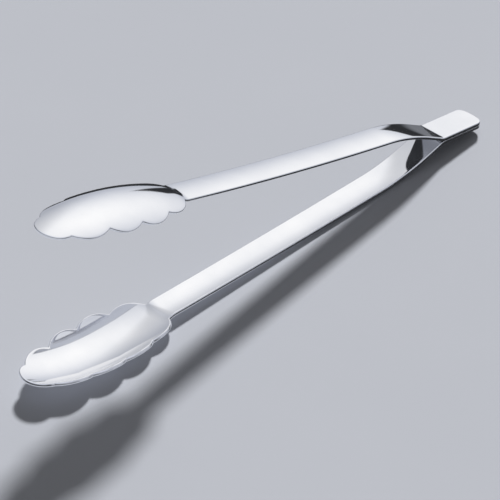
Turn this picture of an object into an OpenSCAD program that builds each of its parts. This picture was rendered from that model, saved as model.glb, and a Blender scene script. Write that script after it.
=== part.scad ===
// Spring-action serving tongs: two facing strips of polished steel sheet, welded tail to tail.
// Each strip runs from a flat tail through a sharp bend, a leaf-spring leg and a long arched arm
// to a scalloped scoop. The tongs lie on one arm with their opening upright. The scoops point
// to -X, the tails to +X, and the strips are symmetric about Y = 0.

/* [Sheet] */
// Thickness of the steel sheet
sheet_t = 1.7; // [1:0.1:2]
// Width of the strip at the tail
tail_w = 15.4; // [12:0.1:18]
// Width of the strip along the arm
arm_w = 15.9; // [12:0.1:20]
// Radius of the arch across the arm and the scoop
arch_r = 30; // [26:1:60]

/* [End slab] */
// Length of the flat tail
tail_len = 28.2; // [20:0.1:40]
// Radius of the tail's outer corners
tail_corner_r = 4; // [1:0.5:6]
// Radius of the tail's bowed end
tail_end_r = 26; // [15:1:60]
// Gap between the two tails, bridged by the welds
weld_gap = 0.3; // [0.2:0.1:1]
// Radius of one weld nugget
weld_r = 2.5; // [1:0.5:3]
// Number of welds along the tail
weld_count = 3; // [2:1:4]

/* [Leaf spring] */
// Length of the sharp bend beside the slab
bend_len = 2.5; // [2:0.5:4]
// Angle at which each strip leaves the slab
rise_angle = 21.6; // [16:0.1:28]
// Length of the straight leg after the bend
leg_len = 10.6; // [6:0.1:16]
// Length of the long curve from the leg to the arm
curve_len = 30.5; // [20:0.5:40]
// Gap between the tail and the spring, where the spring flexes
flex_gap = 0.3; // [0.2:0.1:0.5]

/* [Arms] */
// Length of each arm, up to the crease at its neck
arm_len = 143; // [100:1:180]
// Angle of the upper arm where its spring ends
upper_arm_angle = 5.4; // [3:0.1:9]
// Angle of the upper arm at its neck
upper_neck_angle = 8.9; // [6:0.1:11]
// Angle of the lower arm where its spring ends
lower_arm_angle = 7.6; // [3:0.1:9]
// Angle of the lower arm at its neck
lower_neck_angle = 6.4; // [5:0.1:9]
// Tilt at which the tongs lie on the lower arm
lie_angle = 8.32; // [8:0.02:10]

/* [Scoops] */
// Distance from the crease to the first notch, at the neck
neck_len = 4; // [2:0.5:6]
// Length of the lobe beside the neck, from notch to notch
neck_lobe_len = 18.2; // [15:0.1:22]
// Length of each other side lobe, from notch to notch
lobe_len = 20; // [16:0.1:22]
// How far each side lobe bulges past its two notches
lobe_bulge = 3.75; // [2:0.05:4.5]
// Length of the lobe at the tip
tip_lobe_len = 9.2; // [8:0.1:16]
// Half-width of the scoop at its widest notches
scoop_half = 17.8; // [16:0.1:22]
// Angle that the neck crease turns outwards
crease_angle = 19.6; // [12:0.1:26]
// Angle at which the bowl begins, past the crease
bowl_angle = 10.2; // [8:0.1:14]
// Angle of the bowl halfway along, turned inwards
mid_angle = 3.9; // [0:0.1:8]
// Angle of the bowl at the tip, turned inwards
tip_angle = 21; // [16:0.1:28]

/* [Hidden] */
$fn = 96;

crease_len = 3.5;                // sharp part of the neck crease
shoulder_len = 5;                // bend back from the crease to the bowl
side_lobes = 4;                  // lobes on each side, besides the one at the tip
last_notch = neck_len + neck_lobe_len + (side_lobes - 1) * lobe_len;
bowl_len = last_notch + tip_lobe_len - crease_len - shoulder_len;

// Where each region of a strip starts, measured along the sheet from the tail's end
spring_start = tail_len + flex_gap;
curve_start = tail_len + bend_len + leg_len;
arm_start = curve_start + curve_len;
scoop_start = arm_start + arm_len;

// Half-widths at the notches, from the neck to the last one before the tip
notch_half = [arm_w / 2, 0.875 * scoop_half, scoop_half, 0.875 * scoop_half, 0.585 * scoop_half];

across = 11;                     // facets across a strip, odd so that its middle lies flat
lobe_steps = 9;                  // stations along one lobe
corner_steps = 12;               // facets round one corner of a tail
bow_steps = 6;                   // facets from the middle of a tail's bowed end to its corner

// A strip's side view: each stretch is [length, angle at its start, angle at its end]
function side_view(arm_angle, neck_angle) = [
    [tail_len, 0, 0],
    [bend_len, 0, rise_angle],
    [leg_len, rise_angle, rise_angle],
    [curve_len, rise_angle, arm_angle],
    [arm_len, arm_angle, neck_angle],
    [crease_len, neck_angle, neck_angle + crease_angle],
    [shoulder_len, neck_angle + crease_angle, neck_angle + bowl_angle],
    [bowl_len / 2, neck_angle + bowl_angle, neck_angle - mid_angle],
    [bowl_len / 2, neck_angle - mid_angle, neck_angle - tip_angle]
];
upper = side_view(upper_arm_angle, upper_neck_angle);
lower = side_view(lower_arm_angle, lower_neck_angle);

// Angle, and distance travelled as [along, outwards], after l millimetres of one stretch
function angle_in(stretch, l) = stretch[1] + (stretch[2] - stretch[1]) * l / stretch[0];
function travel(stretch, l) =
    let (a = stretch[1], b = angle_in(stretch, l))
    abs(b - a) < 0.001
        ? l * [cos(a), sin(a)]
        : l / ((b - a) * PI / 180) * [sin(b) - sin(a), cos(a) - cos(b)];

// Place [along, outwards] and angle of a strip's outer edge, l millimetres from the tail's end
function edge_at(view, l, i = 0, from = [0, weld_gap / 2 + sheet_t]) =
    l <= view[i][0] || i == len(view) - 1
        ? [from + travel(view[i], l), angle_in(view[i], l)]
        : edge_at(view, l - view[i][0], i + 1, from + travel(view[i], view[i][0]));

// The arch across the strip fades in along the spring's long curve
function ease(f) = f * f * (3 - 2 * f);
function arch_at(l) = 1 / arch_r * max(0.002, ease(min(1, max(0, (l - curve_start) / curve_len))));

// Half-width of the strip between the tail and the neck
function half_width(l) =
    let (f = min(1, max(0, (l - tail_len) / (arm_start - tail_len))))
    (tail_w + (arm_w - tail_w) * f) / 2;

// A point of the sheet: l along it, w across it and d below its outer face
function sheet_point(view, l, w, d) =
    let (
        edge = edge_at(view, l),
        k = arch_at(l),
        turn = w * k * 180 / PI,
        edge_turn = arm_w / 2 * k * 180 / PI,
        lift = (1 / k - d) * cos(turn) - cos(edge_turn) / k,
        place = edge[0] + lift * [-sin(edge[1]), cos(edge[1])]
    )
    [-place[0], (1 / k - d) * sin(turn), place[1]];

// One closed section of the sheet at l, w to each side
function section(view, l, w) = concat(
    [for (i = [0 : across]) sheet_point(view, l, w * (2 * i / across - 1), 0)],
    [for (i = [across : -1 : 0]) sheet_point(view, l, w * (2 * i / across - 1), sheet_t)]
);

// One lobe: an arc that bulges outwards between two notches, each [along, half-width]
function lobe(a, b) =
    let (
        chord = norm(b - a),
        r = (chord * chord / 4 + lobe_bulge * lobe_bulge) / (2 * lobe_bulge),
        reach = 2 * atan(2 * lobe_bulge / chord),
        along = (b - a) / chord,
        out = [-along[1], along[0]],
        centre = (a + b) / 2 - out * (r - lobe_bulge)
    )
    [for (i = [0 : lobe_steps - 1])
        let (t = reach * (2 * i / lobe_steps - 1))
        centre + r * (along * sin(t) + out * cos(t))];

// The scoop's outline on one side, from the arm's end to the tip
notches = concat(
    [[scoop_start + neck_len, notch_half[0]]],
    [for (i = [1 : side_lobes])
        [scoop_start + neck_len + neck_lobe_len + (i - 1) * lobe_len, notch_half[i]]]
);
tip_steps = 12;
scoop_outline = concat(
    [for (i = [0 : 3]) [scoop_start + neck_len * i / 4, arm_w / 2]],
    [for (i = [0 : side_lobes - 1]) each lobe(notches[i], notches[i + 1])],
    [for (i = [0 : tip_steps - 1])
        let (t = 90 * i / tip_steps)
        notches[side_lobes] + [tip_lobe_len * sin(t), notch_half[side_lobes] * (cos(t) - 1)]]
);

// The stations [along, half-width] of each curved region
function stations(from, to, steps) =
    [for (i = [0 : steps]) let (l = from + (to - from) * i / steps) [l, half_width(l)]];
spring_stations = concat(
    stations(spring_start, tail_len + bend_len, 5),
    stations(curve_start, arm_start, 14)
);
arm_stations = stations(arm_start, scoop_start, 24);

function sections(view, list) = [for (at = list) section(view, at[0], at[1])];

// Where the tongs touch the table, and how far they reach
function lie(p) = [
    p[0] * cos(lie_angle) + p[2] * sin(lie_angle),
    p[1],
    p[2] * cos(lie_angle) - p[0] * sin(lie_angle)
];
function flipped(p) = [p[0], p[1], -p[2]];
upper_points = [for (s = sections(upper, scoop_outline)) each [for (p = s) lie(p)]];
lower_points = [
    for (list = [spring_stations, arm_stations, scoop_outline])
        each [for (s = sections(lower, list)) each [for (p = s) lie(flipped(p))]]
];
x_low = min([for (list = [upper_points, lower_points]) each [for (p = list) p[0]]]);
x_high = (sheet_t + weld_gap / 2) * sin(lie_angle);
z_low = min([for (p = lower_points) p[2]]);

// Lays the tongs down, with the origin under the middle of their box
module laid_down() {
    translate([-(x_low + x_high) / 2, 0, -z_low])
        rotate([0, lie_angle, 0])
            children();
}

module mirrored_down() {
    laid_down()
        mirror([0, 0, 1])
            children();
}

// A solid through a row of sections
module loft(rows) {
    n = len(rows[0]);
    last = (len(rows) - 1) * n;
    polyhedron(
        points = [for (row = rows) each row],
        faces = concat(
            [for (i = [0 : len(rows) - 2], j = [0 : n - 1])
                let (a = i * n + j, b = i * n + (j + 1) % n)
                each [[a, a + n, b + n], [a, b + n, b]]],
            [[for (j = [0 : n - 1]) j]],
            [[for (j = [n - 1 : -1 : 0]) last + j]]
        ),
        convexity = 6
    );
}

// Points along an arc, in degrees from +X
function arc(centre, r, from, to, steps) =
    [for (i = [0 : steps]) let (a = from + (to - from) * i / steps) centre + r * [cos(a), sin(a)]];

// Flat tail with two rounded corners and a slightly bowed end, its outer face up
module tail() {
    corner_y = tail_w / 2 - tail_corner_r;
    corner_x = sqrt(pow(tail_end_r - tail_corner_r, 2) - pow(corner_y, 2)) - tail_end_r;
    bow = asin(corner_y / (tail_end_r - tail_corner_r));
    bow_step = bow / bow_steps;
    translate([0, 0, weld_gap / 2])
        linear_extrude(sheet_t)
            polygon(concat(
                [[-tail_len, tail_w / 2], [-tail_len, -tail_w / 2]],
                arc([corner_x, -corner_y], tail_corner_r, -90, -bow, corner_steps),
                arc([-tail_end_r, 0], tail_end_r, bow_step - bow, bow - bow_step, 2 * bow_steps - 2),
                arc([corner_x, corner_y], tail_corner_r, bow, 90, corner_steps)
            ));
}

module spring(view) {
    loft(sections(view, spring_stations));
}

module arm(view) {
    loft(sections(view, arm_stations));
}

module scoop(view) {
    loft(sections(view, scoop_outline));
}

module upper_tail() {
    color("gainsboro")
        laid_down()
            tail();
}

module upper_spring() {
    color("silver")
        laid_down()
            spring(upper);
}

module upper_arm() {
    color("gainsboro")
        laid_down()
            arm(upper);
}

module upper_scoop() {
    color("silver")
        laid_down()
            scoop(upper);
}

module lower_tail() {
    color("gainsboro")
        mirrored_down()
            tail();
}

module lower_spring() {
    color("silver")
        mirrored_down()
            spring(lower);
}

module lower_arm() {
    color("gainsboro")
        mirrored_down()
            arm(lower);
}

module lower_scoop() {
    color("silver")
        mirrored_down()
            scoop(lower);
}

// Flat nuggets that join the two tails, spread evenly along them
module spot_welds() {
    spacing = tail_len / weld_count;
    color("darkgray")
        laid_down()
            for (i = [0 : weld_count - 1])
                translate([-spacing * (i + 0.5), 0, -weld_gap / 2])
                    cylinder(h = weld_gap, r = weld_r);
}

upper_tail();
upper_spring();
upper_arm();
upper_scoop();
lower_tail();
lower_spring();
lower_arm();
lower_scoop();
spot_welds();
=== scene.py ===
import math

import bmesh
import bpy
from mathutils import Matrix, Vector


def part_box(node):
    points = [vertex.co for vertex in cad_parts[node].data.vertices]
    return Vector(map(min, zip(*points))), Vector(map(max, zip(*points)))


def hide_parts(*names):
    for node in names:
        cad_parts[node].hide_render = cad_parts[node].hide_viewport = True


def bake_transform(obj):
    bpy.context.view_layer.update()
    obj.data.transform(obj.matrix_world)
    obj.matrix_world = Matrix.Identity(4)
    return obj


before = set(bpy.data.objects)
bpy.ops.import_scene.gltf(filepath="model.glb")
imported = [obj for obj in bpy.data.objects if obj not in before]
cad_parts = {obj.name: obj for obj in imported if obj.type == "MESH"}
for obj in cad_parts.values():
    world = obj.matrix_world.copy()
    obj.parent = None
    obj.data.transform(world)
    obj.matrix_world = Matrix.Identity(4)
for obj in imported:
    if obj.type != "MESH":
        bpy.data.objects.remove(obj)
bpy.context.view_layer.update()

# ---------------------------------------------------------------- sizes, in metres and degrees
MM = 0.001

# The sheet and the strip blanked from it
SHEET_T = 1.7 * MM
TAIL_W = 15.4 * MM
ARM_W = 15.9 * MM
ARCH_R = 30 * MM
WELD_GAP = 0.3 * MM
EDGE_R = 0.5 * MM                # cut edges are rounded by tumbling
TAIL_EDGE_R = 0.08 * MM          # but stay crisp where the tails face each other

# The strip from its tail to its neck
TAIL_LEN = 28.2 * MM
TAIL_CORNER_R = 4 * MM
TAIL_END_R = 26 * MM
BEND_LEN = 2.5 * MM
RISE_ANGLE = 21.6
LEG_LEN = 10.6 * MM
CURVE_LEN = 30.5 * MM
ARM_LEN = 143 * MM
UPPER_ANGLES = (5.4, 8.9)        # where the spring ends, and at the neck
LOWER_ANGLES = (7.6, 6.4)
LIE_ANGLE = 8.32

# The scoop
NECK_LEN = 4 * MM
NECK_LOBE_LEN = 18.2 * MM
LOBE_LEN = 20 * MM
LOBE_BULGE = 3.75 * MM
TIP_LOBE_LEN = 9.2 * MM
SCOOP_HALF = 17.8 * MM
NOTCH_SHARES = (0.875, 1, 0.875, 0.585)
CREASE_LEN = 3.5 * MM
SHOULDER_LEN = 5 * MM
CREASE_ANGLE = 19.6
BOWL_ANGLE = 10.2
MID_ANGLE = 3.9
TIP_ANGLE = 21

CURVE_START = TAIL_LEN + BEND_LEN + LEG_LEN
ARM_START = CURVE_START + CURVE_LEN
SCOOP_START = ARM_START + ARM_LEN
SIDE_LOBES = len(NOTCH_SHARES)
LAST_NOTCH = NECK_LEN + NECK_LOBE_LEN + (SIDE_LOBES - 1) * LOBE_LEN
BOWL_LEN = LAST_NOTCH + TIP_LOBE_LEN - CREASE_LEN - SHOULDER_LEN

# How finely the sheet is divided, across it and along each stretch of its outline
ACROSS = 28                      # columns across each face
ROUNDING = 6                     # columns round each cut edge's corner
END_STEPS = 10
CORNER_STEPS = 12
TAIL_STEPS = 14
BEND_STEPS = 10
LEG_STEPS = 8
CURVE_STEPS = 40
ARM_STEPS = 90
NECK_STEPS = 10
LOBE_STEPS = 26
TIP_STEPS = 30

LEAST_ARCH = 0.002               # share of the arch left on the flat tail, to avoid dividing by 0
LEAST_TURN = 1e-6                # radians, below which a stretch counts as straight
SAME_POINT = 1e-7                # metres, within which two points are joined
NO_LENGTH = 1e-8                 # metres, below which an edge is removed


# ---------------------------------------------------------------- shape of one strip
def side_view(angles):
    """The strip's side view: each stretch is (length, angle at its start, angle at its end)."""
    start, neck = angles
    return [
        (TAIL_LEN, 0, 0),
        (BEND_LEN, 0, RISE_ANGLE),
        (LEG_LEN, RISE_ANGLE, RISE_ANGLE),
        (CURVE_LEN, RISE_ANGLE, start),
        (ARM_LEN, start, neck),
        (CREASE_LEN, neck, neck + CREASE_ANGLE),
        (SHOULDER_LEN, neck + CREASE_ANGLE, neck + BOWL_ANGLE),
        (BOWL_LEN / 2, neck + BOWL_ANGLE, neck - MID_ANGLE),
        (BOWL_LEN / 2, neck - MID_ANGLE, neck - TIP_ANGLE),
    ]


def travel(stretch, length):
    """How far (along, outwards) one stretch has gone after a length, and its angle there."""
    a = math.radians(stretch[1])
    b = a + (math.radians(stretch[2]) - a) * length / stretch[0]
    if abs(b - a) < LEAST_TURN:
        return length * math.cos(a), length * math.sin(a), b
    radius = length / (b - a)
    return radius * (math.sin(b) - math.sin(a)), radius * (math.cos(a) - math.cos(b)), b


def edge_at(view, length):
    """Place (along, outwards) and angle of the strip's outer edge, a length from the tail's end."""
    along, out = 0.0, WELD_GAP / 2 + SHEET_T
    for stretch in view[:-1]:
        if length <= stretch[0]:
            break
        step = travel(stretch, stretch[0])
        along, out, length = along + step[0], out + step[1], length - stretch[0]
    else:
        stretch = view[-1]
    step = travel(stretch, length)
    return along + step[0], out + step[1], step[2]


def arch_at(length):
    """Curvature across the strip: it fades in along the spring's long curve."""
    f = min(1, max(0, (length - CURVE_START) / CURVE_LEN))
    return max(LEAST_ARCH, f * f * (3 - 2 * f)) / ARCH_R


def sheet_point(view, side, length, across, depth):
    """A point of the sheet in the row frame. side is 1 for the upper strip and -1 for the lower."""
    along, out, angle = edge_at(view, length)
    k = arch_at(length)
    lift = (1 / k - depth) * math.cos(across * k) - math.cos(ARM_W / 2 * k) / k
    s = along - lift * math.sin(angle)
    h = side * (out + lift * math.cos(angle))
    return LAY_DOWN @ Vector((-s, (1 / k - depth) * math.sin(across * k), h))


def laying_down():
    """The matrix from the strips' own frame to the row frame, found from the tails' boxes."""
    lie = math.radians(LIE_ANGLE)
    _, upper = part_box("upper_tail")
    _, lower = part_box("lower_tail")
    x = upper.x - (WELD_GAP / 2 + SHEET_T) * math.sin(lie)
    z = lower.z + WELD_GAP / 2 * math.cos(lie) - TAIL_LEN * math.sin(lie)
    return Matrix.Translation((x, 0, z)) @ Matrix.Rotation(lie, 4, "Y")


LAY_DOWN = laying_down()


# ---------------------------------------------------------------- outline of the blank
def half_width(length):
    """Half the strip's width, which grows from the tail to the arm."""
    f = min(1, max(0, (length - TAIL_LEN) / (ARM_START - TAIL_LEN)))
    return (TAIL_W + (ARM_W - TAIL_W) * f) / 2


def arc(centre, radius, start, end, steps):
    """Outline stations (length, half-width, outward normal) along an arc, angles from -length."""
    stations = []
    for i in range(steps + 1):
        a = math.radians(start + (end - start) * i / steps)
        n = (-math.cos(a), math.sin(a))
        stations.append((centre[0] + radius * n[0], centre[1] + radius * n[1], *n))
    return stations


def tail_end():
    """The bowed end of the tail and its rounded corner."""
    corner_w = TAIL_W / 2 - TAIL_CORNER_R
    bow = math.degrees(math.asin(corner_w / (TAIL_END_R - TAIL_CORNER_R)))
    corner_l = TAIL_END_R - (TAIL_END_R - TAIL_CORNER_R) * math.cos(math.radians(bow))
    return (arc((TAIL_END_R, 0), TAIL_END_R, 0, bow, END_STEPS)[:-1]
            + arc((corner_l, corner_w), TAIL_CORNER_R, bow, 90, CORNER_STEPS))


def straight(start, end, steps):
    """Straight sides from one length to another, without the first station."""
    lengths = [start + (end - start) * (i + 1) / steps for i in range(steps)]
    return [(x, half_width(x), 0, 1) for x in lengths]


def lobe(a, b, steps):
    """One lobe between two notches, without its last station."""
    chord = math.dist(a, b)
    radius = (chord * chord / 4 + LOBE_BULGE * LOBE_BULGE) / (2 * LOBE_BULGE)
    reach = 2 * math.atan(2 * LOBE_BULGE / chord)
    along = ((b[0] - a[0]) / chord, (b[1] - a[1]) / chord)
    out = (-along[1], along[0])
    centre = [(a[i] + b[i]) / 2 - out[i] * (radius - LOBE_BULGE) for i in (0, 1)]
    stations = []
    for i in range(steps):
        t = reach * (2 * i / steps - 1)
        n = [along[i] * math.sin(t) + out[i] * math.cos(t) for i in (0, 1)]
        if i == 0:
            stations.append((*a, 0, 1))
        else:
            stations.append((centre[0] + radius * n[0], centre[1] + radius * n[1], *n))
    return stations


def tip(notch, steps):
    """The elliptical lobe at the tip."""
    stations = [(*notch, 0, 1)]
    for i in range(1, steps + 1):
        t = math.pi / 2 * i / steps
        n = Vector((math.sin(t) / TIP_LOBE_LEN, math.cos(t) / notch[1])).normalized()
        stations.append((notch[0] + TIP_LOBE_LEN * math.sin(t), notch[1] * math.cos(t), *n))
    return stations


def blank_outline():
    """Stations from the tail's end to the scoop's tip, on one side of the blank."""
    first = SCOOP_START + NECK_LEN
    notches = [(first, ARM_W / 2)]
    for i, share in enumerate(NOTCH_SHARES):
        notches.append((first + NECK_LOBE_LEN + i * LOBE_LEN, share * SCOOP_HALF))
    stations = tail_end()
    stations += straight(stations[-1][0], TAIL_LEN, TAIL_STEPS)
    stations += straight(TAIL_LEN, TAIL_LEN + BEND_LEN, BEND_STEPS)
    stations += straight(TAIL_LEN + BEND_LEN, CURVE_START, LEG_STEPS)
    stations += straight(CURVE_START, ARM_START, CURVE_STEPS)
    stations += straight(ARM_START, SCOOP_START, ARM_STEPS)
    stations += straight(SCOOP_START, first, NECK_STEPS)[:-1]
    for a, b in zip(notches, notches[1:]):
        stations += lobe(a, b, LOBE_STEPS)
    return stations + tip(notches[-1], TIP_STEPS)


# ---------------------------------------------------------------- meshes and objects
def mesh_from(bm, name):
    """Turns a bmesh into a mesh and frees it."""
    mesh = bpy.data.meshes.new(name)
    bm.to_mesh(mesh)
    bm.free()
    return mesh


def placed(name, data):
    """A new object in the scene."""
    thing = bpy.data.objects.new(name, data)
    bpy.context.collection.objects.link(thing)
    return thing


# ---------------------------------------------------------------- mesh of one strip
def inner_edge_r(length):
    """Radius of the inner face's edges, which grows along the bend beside the slab."""
    f = min(1, max(0, (length - TAIL_LEN) / (2 * BEND_LEN)))
    return TAIL_EDGE_R + (EDGE_R - TAIL_EDGE_R) * f


def rounded(radius):
    """Steps (how far in from the outline, depth) round one corner, from its face to its wall."""
    turns = [math.pi / 2 * i / ROUNDING for i in range(ROUNDING + 1)]
    return [(radius * (1 - math.sin(a)), radius * (1 - math.cos(a))) for a in turns]


def section(view, side, station):
    """A closed loop round the sheet at one station: outer face, cut edge, inner face, cut edge."""
    length, half, n_length, n_across = station
    inner_r = inner_edge_r(length)
    edge = rounded(EDGE_R) + [(inset, SHEET_T - depth) for inset, depth in reversed(rounded(inner_r))]
    shares = [i / ACROSS * 2 - 1 for i in range(1, ACROSS)]

    def at(inset, depth, share):
        across = share * max(0, half - n_across * inset)
        return sheet_point(view, side, length - n_length * inset, across, depth)

    loop = [at(EDGE_R, 0, share) for share in shares]
    loop += [at(inset, depth, 1) for inset, depth in edge]
    loop += [at(inner_r, SHEET_T, -share) for share in shares]
    return loop + [at(inset, depth, -1) for inset, depth in reversed(edge)]


def strip_mesh(name, angles, side):
    """One stamping as a smooth closed mesh. Its cut edges take the second material."""
    view = side_view(angles)
    bm = bmesh.new()
    rows = []
    for station in blank_outline():
        rows.append([bm.verts.new(p) for p in section(view, side, station)])
    n = len(rows[0])
    face_columns = ACROSS - 2
    edge_columns = 2 * ROUNDING + 3
    for a, b in zip(rows, rows[1:]):
        for j in range(n):
            quad = bm.faces.new((a[j], b[j], b[(j + 1) % n], a[(j + 1) % n]))
            quad.smooth = True
            place = j % (n // 2)
            on_edge = face_columns + ROUNDING < place < face_columns + edge_columns - ROUNDING
            quad.material_index = 1 if on_edge else 0
    bmesh.ops.remove_doubles(bm, verts=bm.verts, dist=SAME_POINT)
    bmesh.ops.dissolve_degenerate(bm, edges=bm.edges, dist=NO_LENGTH)
    bmesh.ops.recalc_face_normals(bm, faces=bm.faces)
    return mesh_from(bm, name)


# ---------------------------------------------------------------- node helpers
class Tree:
    """A node tree, with short ways to add nodes, join them and do sums."""

    def __init__(self, tree):
        self.tree = tree

    def add(self, kind, **values):
        node = self.tree.nodes.new(kind)
        for key, value in values.items():
            setattr(node, key, value)
        return node

    def plug(self, value, socket):
        """Joins an output to a socket, or sets a plain number on it."""
        if isinstance(value, bpy.types.NodeSocket):
            self.tree.links.new(value, socket)
        else:
            socket.default_value = value

    def sum(self, operation, a, b=0.0):
        node = self.add("ShaderNodeMath", operation=operation)
        self.plug(a, node.inputs[0])
        self.plug(b, node.inputs[1])
        return node.outputs[0]

    def ramp(self, value, start, end, low, high, kind="LINEAR"):
        """Runs from low to high as a value goes from start to end."""
        node = self.add("ShaderNodeMapRange", interpolation_type=kind)
        node.inputs["From Min"].default_value = start
        node.inputs["From Max"].default_value = end
        node.inputs["To Min"].default_value = low
        node.inputs["To Max"].default_value = high
        self.plug(value, node.inputs["Value"])
        return node.outputs["Result"]


class Surface(Tree):
    """A material's node tree, with patterns in the object's own frame."""

    def __init__(self, name):
        self.material = bpy.data.materials.new(name)
        self.material.use_nodes = True
        super().__init__(self.material.node_tree)
        self.shader = self.tree.nodes["Principled BSDF"]

    def noise(self, scale, detail, stretch=(1, 1, 1)):
        coordinates = self.add("ShaderNodeTexCoord")
        mapping = self.add("ShaderNodeMapping")
        mapping.inputs["Scale"].default_value = stretch
        self.plug(coordinates.outputs["Object"], mapping.inputs["Vector"])
        node = self.add("ShaderNodeTexNoise")
        node.inputs["Scale"].default_value = scale
        node.inputs["Detail"].default_value = detail
        self.plug(mapping.outputs["Vector"], node.inputs["Vector"])
        return node.outputs["Fac"]

    def tint(self, value, low, high):
        """A colour that runs from low to high over the noise's span."""
        node = self.add("ShaderNodeValToRGB")
        for element, place, colour in zip(node.color_ramp.elements, NOISE_SPAN, (low, high)):
            element.position = place
            element.color = (*colour, 1)
        self.plug(value, node.inputs["Fac"])
        return node.outputs["Color"]

    def bump(self, height, distance, strength, below=None):
        node = self.add("ShaderNodeBump")
        node.inputs["Distance"].default_value = distance
        node.inputs["Strength"].default_value = strength
        self.plug(height, node.inputs["Height"])
        if below:
            self.plug(below, node.inputs["Normal"])
        return node.outputs["Normal"]

    def finish(self, pattern, tints, roughness, metallic):
        """Colour and roughness that follow one pattern."""
        self.plug(self.tint(pattern, *tints), self.shader.inputs["Base Color"])
        self.plug(self.ramp(pattern, *NOISE_SPAN, *roughness), self.shader.inputs["Roughness"])
        self.shader.inputs["Metallic"].default_value = metallic


# ---------------------------------------------------------------- materials
# A pattern is (cells per metre, octaves of detail) and, if it is stretched, that many times more
# cells along each axis. A bump is (height, strength). Tints and roughness run from low to high.
NOISE_SPAN = (0.3, 0.7)          # the part of a pattern over which they run
STEEL = 1.0                      # metallic share
PAINT = 0.0

# Polished face
LINES = (1.0, 3.0, (60, 2600, 2600))
LINE_BUMP = (0.002 * MM, 0.25)
SMEARS = (55.0, 3.0)
WAVES = (38.0, 1.0, (1, 1.6, 1.6))
WAVE_BUMP = (0.12 * MM, 0.5)
FACE_TINTS = ((0.80, 0.805, 0.825), (0.86, 0.86, 0.87))
FACE_ROUGHNESS = (0.045, 0.085)

# Cut edge
GRAIN = (1.0, 3.0, (900, 900, 900))
GRAIN_BUMP = (0.01 * MM, 0.3)
EDGE_TINTS = ((0.74, 0.745, 0.76), (0.82, 0.82, 0.83))
EDGE_ROUGHNESS = (0.14, 0.26)

# Weld
HEAT = (900.0, 4.0)
HEAT_BUMP = (0.05 * MM, 0.6)
WELD_TINTS = ((0.30, 0.27, 0.24), (0.48, 0.46, 0.44))
WELD_ROUGHNESS = (0.35, 0.6)

# Table
MOTTLE = (9.0, 3.0)
TABLE_TINTS = ((0.50, 0.515, 0.56), (0.515, 0.53, 0.575))
TABLE_ROUGHNESS = (0.6, 0.7)


def polished_steel():
    """Stainless sheet polished nearly to a mirror, with faint polishing lines along its length."""
    m = Surface("polished_steel")
    lines = m.noise(*LINES)
    smears = m.noise(*SMEARS)
    waves = m.noise(*WAVES)
    m.finish(smears, FACE_TINTS, FACE_ROUGHNESS, STEEL)
    slow = m.bump(waves, *WAVE_BUMP)
    m.plug(m.bump(lines, *LINE_BUMP, slow), m.shader.inputs["Normal"])
    return m.material


def cut_edge():
    """The sheared edge: tumbled smooth, but duller than the faces, with a fine grain."""
    m = Surface("cut_edge")
    grain = m.noise(*GRAIN)
    m.finish(grain, EDGE_TINTS, EDGE_ROUGHNESS, STEEL)
    m.plug(m.bump(grain, *GRAIN_BUMP), m.shader.inputs["Normal"])
    return m.material


def weld_steel():
    """Fused steel between the tails: dull, with a trace of heat colour."""
    m = Surface("weld_steel")
    heat = m.noise(*HEAT)
    m.finish(heat, WELD_TINTS, WELD_ROUGHNESS, STEEL)
    m.plug(m.bump(heat, *HEAT_BUMP), m.shader.inputs["Normal"])
    return m.material


def table_top():
    """Plain pale table, matt, with the slightest mottling."""
    m = Surface("table_top")
    m.finish(m.noise(*MOTTLE), TABLE_TINTS, TABLE_ROUGHNESS, PAINT)
    return m.material


# ---------------------------------------------------------------- the tongs
def build_strip(name, angles, side, nodes, materials):
    """One stamping, in place of its four CAD nodes."""
    piece = placed(name, strip_mesh(name, angles, side))
    for material in materials:
        piece.data.materials.append(material)
    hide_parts(*nodes)
    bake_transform(piece)


def finish_welds(material):
    """The weld nuggets keep their CAD shape and take a steel of their own."""
    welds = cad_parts["spot_welds"]
    welds.data.materials.clear()
    welds.data.materials.append(material)


SHEET_STEELS = (polished_steel(), cut_edge())
build_strip("upper_strip", UPPER_ANGLES, 1,
            ("upper_tail", "upper_spring", "upper_arm", "upper_scoop"),
            SHEET_STEELS)
build_strip("lower_strip", LOWER_ANGLES, -1,
            ("lower_tail", "lower_spring", "lower_arm", "lower_scoop"),
            SHEET_STEELS)
finish_welds(weld_steel())


# ---------------------------------------------------------------- table, light and camera
# Studio sky, as reflections see it, in degrees. Azimuths turn from +Y towards +X
SOFT_BOX_AZIMUTH = 68
SOFT_BOX_ELEVATION = 38
SOFT_BOX_SPREAD = 52
SOFT_BOX_FALL = 1.4
SOFT_BOX_LEVEL = 1.14
SOFT_BOX_TINT = (1.0, 1.0, 1.0, 1)
SKY_LEVEL = 0.66
SKY_TINT = (0.85, 0.89, 1.0, 1)
LEFT_FALL = (33, 48)             # azimuths over which the sky brightens from the left
LEFT_SHARE = 0.80
LOW_FALL = (-34, -26)            # elevations below which the sky goes dark
LOW_SHARE = 0.06
SKY_AZIMUTH = 85
REAR_FROM = (64, 90)             # how far round from there the sky gives way to a darker room
REAR_RISE = (2, 48)              # elevations over which that room brightens
REAR_LEVELS = (0.03, 1.0)
CARD_AZIMUTH = 57.5              # a low dark card beyond the slab
CARD_HALF = 4.5
CARD_TOP = 2
CARD_BLUR = 1
CARD_LEVEL = 0.05
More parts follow.
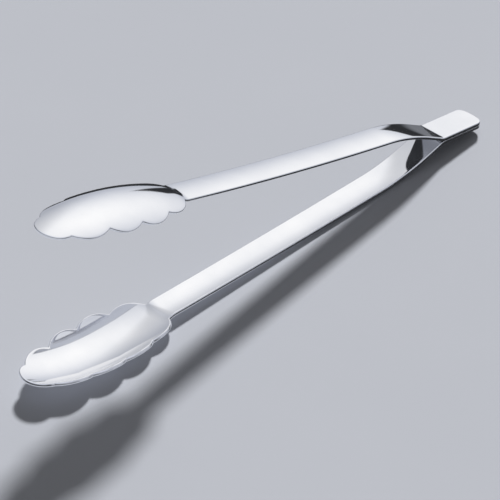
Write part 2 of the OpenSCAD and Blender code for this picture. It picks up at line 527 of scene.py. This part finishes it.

# Painted reflection of the table: a glowing sheet below it that only reflections see, painted dark as
# the table in shade, with painted pools of light. It lies square to the camera's view, so its places run
# right and away from the middle of the tongs
SHEET_LEFT = -0.5
SHEET_RIGHT = 0.165
SHEET_NEAR = -0.4
SHEET_FAR = 0.33
SHEET_DROP = 0.02
PAINTED_REFLECTION_TINT = (0.86, 0.90, 1.0, 1)
# Painted shade: the sheet's base glow, standing for the table in shade as the steel reflects it
PAINTED_SHADE_LEVEL = 0.04
# Painted pool of light in the reflection beyond the slab; its near edge fades out as painted shadow of
# the slab
SLAB_PAINTED_POOL_LEVEL = 0.19
SLAB_PAINTED_POOL_FROM = (-0.02, 0.10)
SLAB_PAINTED_POOL_NEAR = (0.12, 0.17)
SLAB_PAINTED_POOL_FAR = (0.235, 0.29)
# Painted pool of light in the reflection below the scoops
SCOOP_PAINTED_POOL_LEVEL = 0.75
SCOOP_PAINTED_POOL_RIGHT = (0.005, 0.035)
SCOOP_PAINTED_POOL_FAR = (0.05, 0.09)

# What lights the table, and the plain backdrop behind it
AMBIENT_LEVEL = 0.14
BACKDROP_LEVEL = 1.0
BACKDROP_TINT = (0.72, 0.74, 0.78, 1)

# The table, the key light and the camera
TABLE_R = 4
TABLE_SIDES = 64

KEY_AZIMUTH = 57
KEY_ELEVATION = 42
KEY_SPREAD = 8
KEY_STRENGTH = 4.0

CAMERA_AZIMUTH = 180 + 46.867
CAMERA_ELEVATION = 36.507
CAMERA_ROLL = 0.65
CAMERA_DISTANCE = 2.432
CAMERA_LENS_MM = 371.7
CAMERA_CLIP = (0.1, 50)
CAMERA_AIM = Vector((0.00298, 0.00717, -0.00034))


def direction(azimuth, elevation):
    """Unit vector at an azimuth turned from +Y towards +X, and an elevation."""
    a, e = math.radians(azimuth), math.radians(elevation)
    return Vector((math.sin(a) * math.cos(e), math.cos(a) * math.cos(e), math.sin(e)))


def make_table():
    """A plain round table, which the steel doesn't reflect."""
    bm = bmesh.new()
    bmesh.ops.create_circle(bm, cap_ends=True, segments=TABLE_SIDES, radius=TABLE_R)
    table = placed("table", mesh_from(bm, "table"))
    table.data.materials.append(table_top())
    table.visible_glossy = False


class Studio(Tree):
    """The world's node tree, with sky directions, colours and lights."""

    def __init__(self):
        world = bpy.data.worlds.new("studio")
        bpy.context.scene.world = world
        world.use_nodes = True
        super().__init__(world.node_tree)
        self.tree.nodes.clear()
        self.sky = self.add("ShaderNodeTexCoord").outputs["Generated"]
        split = self.add("ShaderNodeSeparateXYZ")
        self.plug(self.sky, split.inputs[0])
        x, y, z = split.outputs
        self.azimuth = self.sum("MULTIPLY", self.sum("ARCTAN2", x, y), math.degrees(1))
        self.elevation = self.sum("MULTIPLY", self.sum("ARCSINE", z), math.degrees(1))

    def soft_ramp(self, value, start, end, low, high):
        return self.ramp(value, start, end, low, high, "SMOOTHSTEP")

    def away_from(self, azimuth):
        """Degrees of azimuth on either side of a given one."""
        return self.sum("ABSOLUTE", self.sum("SUBTRACT", self.azimuth, azimuth))

    def pick(self, kind, share, a, b):
        """A mix of two colours or two lights."""
        node = self.add(kind)
        for value, socket in zip((share, a, b), node.inputs):
            self.plug(value, socket)
        return node.outputs[0]

    def light(self, colour, level):
        node = self.add("ShaderNodeBackground")
        self.plug(colour, node.inputs["Color"])
        self.plug(level, node.inputs["Strength"])
        return node.outputs[0]


def soft_box(studio):
    """How strongly the soft box shows in a direction, from 0 at its rim to 1 in its middle."""
    facing = studio.add("ShaderNodeVectorMath", operation="DOT_PRODUCT")
    studio.plug(studio.sky, facing.inputs[0])
    facing.inputs[1].default_value = direction(SOFT_BOX_AZIMUTH, SOFT_BOX_ELEVATION)
    rim = math.cos(math.radians(SOFT_BOX_SPREAD))
    return studio.sum("POWER", studio.ramp(facing.outputs["Value"], rim, 1, 0, 1), SOFT_BOX_FALL)


def sky_level(studio, glow):
    """The sky and its soft box, dimmer to the left and dark low down."""
    level = studio.sum("ADD", studio.sum("MULTIPLY", glow, SOFT_BOX_LEVEL - SKY_LEVEL), SKY_LEVEL)
    level = studio.sum("MULTIPLY", level, studio.soft_ramp(studio.azimuth, *LEFT_FALL, LEFT_SHARE, 1))
    return studio.sum("MULTIPLY", level, studio.soft_ramp(studio.elevation, *LOW_FALL, LOW_SHARE, 1))


def with_rear_room(studio, level):
    """Well round from the sky, a darker room takes its place."""
    behind = studio.soft_ramp(studio.away_from(SKY_AZIMUTH), *REAR_FROM, 0, 1)
    rear = studio.soft_ramp(studio.elevation, *REAR_RISE, *REAR_LEVELS)
    ahead = studio.sum("MULTIPLY", level, studio.sum("SUBTRACT", 1.0, behind))
    return studio.sum("ADD", ahead, studio.sum("MULTIPLY", rear, behind))


def with_card(studio, level):
    """A low dark card stands in front of the sky."""
    off_card = studio.away_from(CARD_AZIMUTH)
    beside = studio.soft_ramp(off_card, CARD_HALF - CARD_BLUR, CARD_HALF + CARD_BLUR, 0, 1)
    over = studio.soft_ramp(studio.elevation, CARD_TOP - CARD_BLUR, CARD_TOP + CARD_BLUR, 0, 1)
    clear = studio.sum("MAXIMUM", beside, over)
    return studio.sum("MULTIPLY", level, studio.ramp(clear, 0, 1, CARD_LEVEL, 1))


def make_studio():
    """Reflections see the sky, the camera sees a plain backdrop, and all else gets a dim light."""
    studio = Studio()
    glow = soft_box(studio)
    level = with_card(studio, with_rear_room(studio, sky_level(studio, glow)))
    seen = studio.light(studio.pick("ShaderNodeMixRGB", glow, SKY_TINT, SOFT_BOX_TINT), level)
    ambient = studio.light(SOFT_BOX_TINT, AMBIENT_LEVEL)
    backdrop = studio.light(BACKDROP_TINT, BACKDROP_LEVEL)
    path = studio.add("ShaderNodeLightPath").outputs
    lit = studio.pick("ShaderNodeMixShader", path["Is Glossy Ray"], ambient, seen)
    shown = studio.pick("ShaderNodeMixShader", path["Is Camera Ray"], lit, backdrop)
    studio.plug(shown, studio.add("ShaderNodeOutputWorld").inputs["Surface"])


def painted_reflection_sheet():
    """Painted reflection of the table: a dark glow standing for the table in shade, with a painted pool
    of light beyond the slab, faded out on its near side as painted shadow of the slab, and one below the
    scoops.
    """
    m = Surface("painted_reflection_sheet")
    m.tree.nodes.remove(m.shader)
    place = m.add("ShaderNodeSeparateXYZ")
    m.plug(m.add("ShaderNodeTexCoord").outputs["Object"], place.inputs[0])
    right, away = place.outputs["X"], place.outputs["Y"]
    # painted pool of light beyond the slab, fading out towards the tongs as painted shadow of the slab
    beyond = m.sum("MULTIPLY", m.ramp(away, *SLAB_PAINTED_POOL_NEAR, 0, 1), m.ramp(away, *SLAB_PAINTED_POOL_FAR, 1, 0))
    beyond = m.sum("MULTIPLY", m.ramp(right, *SLAB_PAINTED_POOL_FROM, 0, SLAB_PAINTED_POOL_LEVEL), beyond)
    # painted pool of light below the scoops
    under = m.sum("MULTIPLY", m.ramp(right, *SCOOP_PAINTED_POOL_RIGHT, SCOOP_PAINTED_POOL_LEVEL, 0),
                  m.ramp(away, *SCOOP_PAINTED_POOL_FAR, 1, 0))
    glow = m.add("ShaderNodeEmission")
    glow.inputs["Color"].default_value = PAINTED_REFLECTION_TINT
    m.plug(m.ramp(m.sum("ADD", beyond, under), 0, 1, PAINTED_SHADE_LEVEL, 1), glow.inputs["Strength"])
    m.plug(glow.outputs[0], m.tree.nodes["Material Output"].inputs["Surface"])
    return m.material


def make_painted_reflection_sheet():
    """A glowing sheet that only the steel's reflections see, in place of the pale table: a painted
    reflection of the table in shade, with painted pools of light.
    """
    bm = bmesh.new()
    corners = ((SHEET_LEFT, SHEET_NEAR), (SHEET_RIGHT, SHEET_NEAR),
               (SHEET_RIGHT, SHEET_FAR), (SHEET_LEFT, SHEET_FAR))
    bm.faces.new([bm.verts.new((x, y, 0)) for x, y in corners])
    sheet = placed("painted_reflection_sheet", mesh_from(bm, "painted_reflection_sheet"))
    sheet.data.materials.append(painted_reflection_sheet())
    sheet.location.z = -SHEET_DROP
    sheet.rotation_euler.z = math.radians(180 - CAMERA_AZIMUTH)
    sheet.visible_camera = False
    sheet.visible_diffuse = False
    sheet.visible_shadow = False


def make_key_light():
    """A soft key light from behind the tongs, which throws the arms' shadow towards the camera."""
    light = bpy.data.lights.new("key", "SUN")
    light.angle = math.radians(KEY_SPREAD)
    light.energy = KEY_STRENGTH
    key = placed("key", light)
    key.rotation_mode = "QUATERNION"
    key.rotation_quaternion = direction(KEY_AZIMUTH, KEY_ELEVATION).to_track_quat("Z", "Y")
    key.visible_glossy = False


def make_camera():
    """The camera stands well back with a long lens, and its picture is all but level."""
    back = direction(CAMERA_AZIMUTH, CAMERA_ELEVATION)
    camera = placed("camera", bpy.data.cameras.new("camera"))
    camera.data.lens = CAMERA_LENS_MM
    camera.data.clip_start, camera.data.clip_end = CAMERA_CLIP
    level = back.to_track_quat("Z", "Y").to_matrix().to_4x4()
    turn = Matrix.Rotation(math.radians(CAMERA_ROLL), 4, "Z")
    camera.matrix_world = Matrix.Translation(CAMERA_AIM + back * CAMERA_DISTANCE) @ level @ turn
    bpy.context.scene.camera = camera


make_table()
make_painted_reflection_sheet()
make_studio()
make_key_light()
make_camera()
bpy.context.scene.view_settings.view_transform = "Standard"
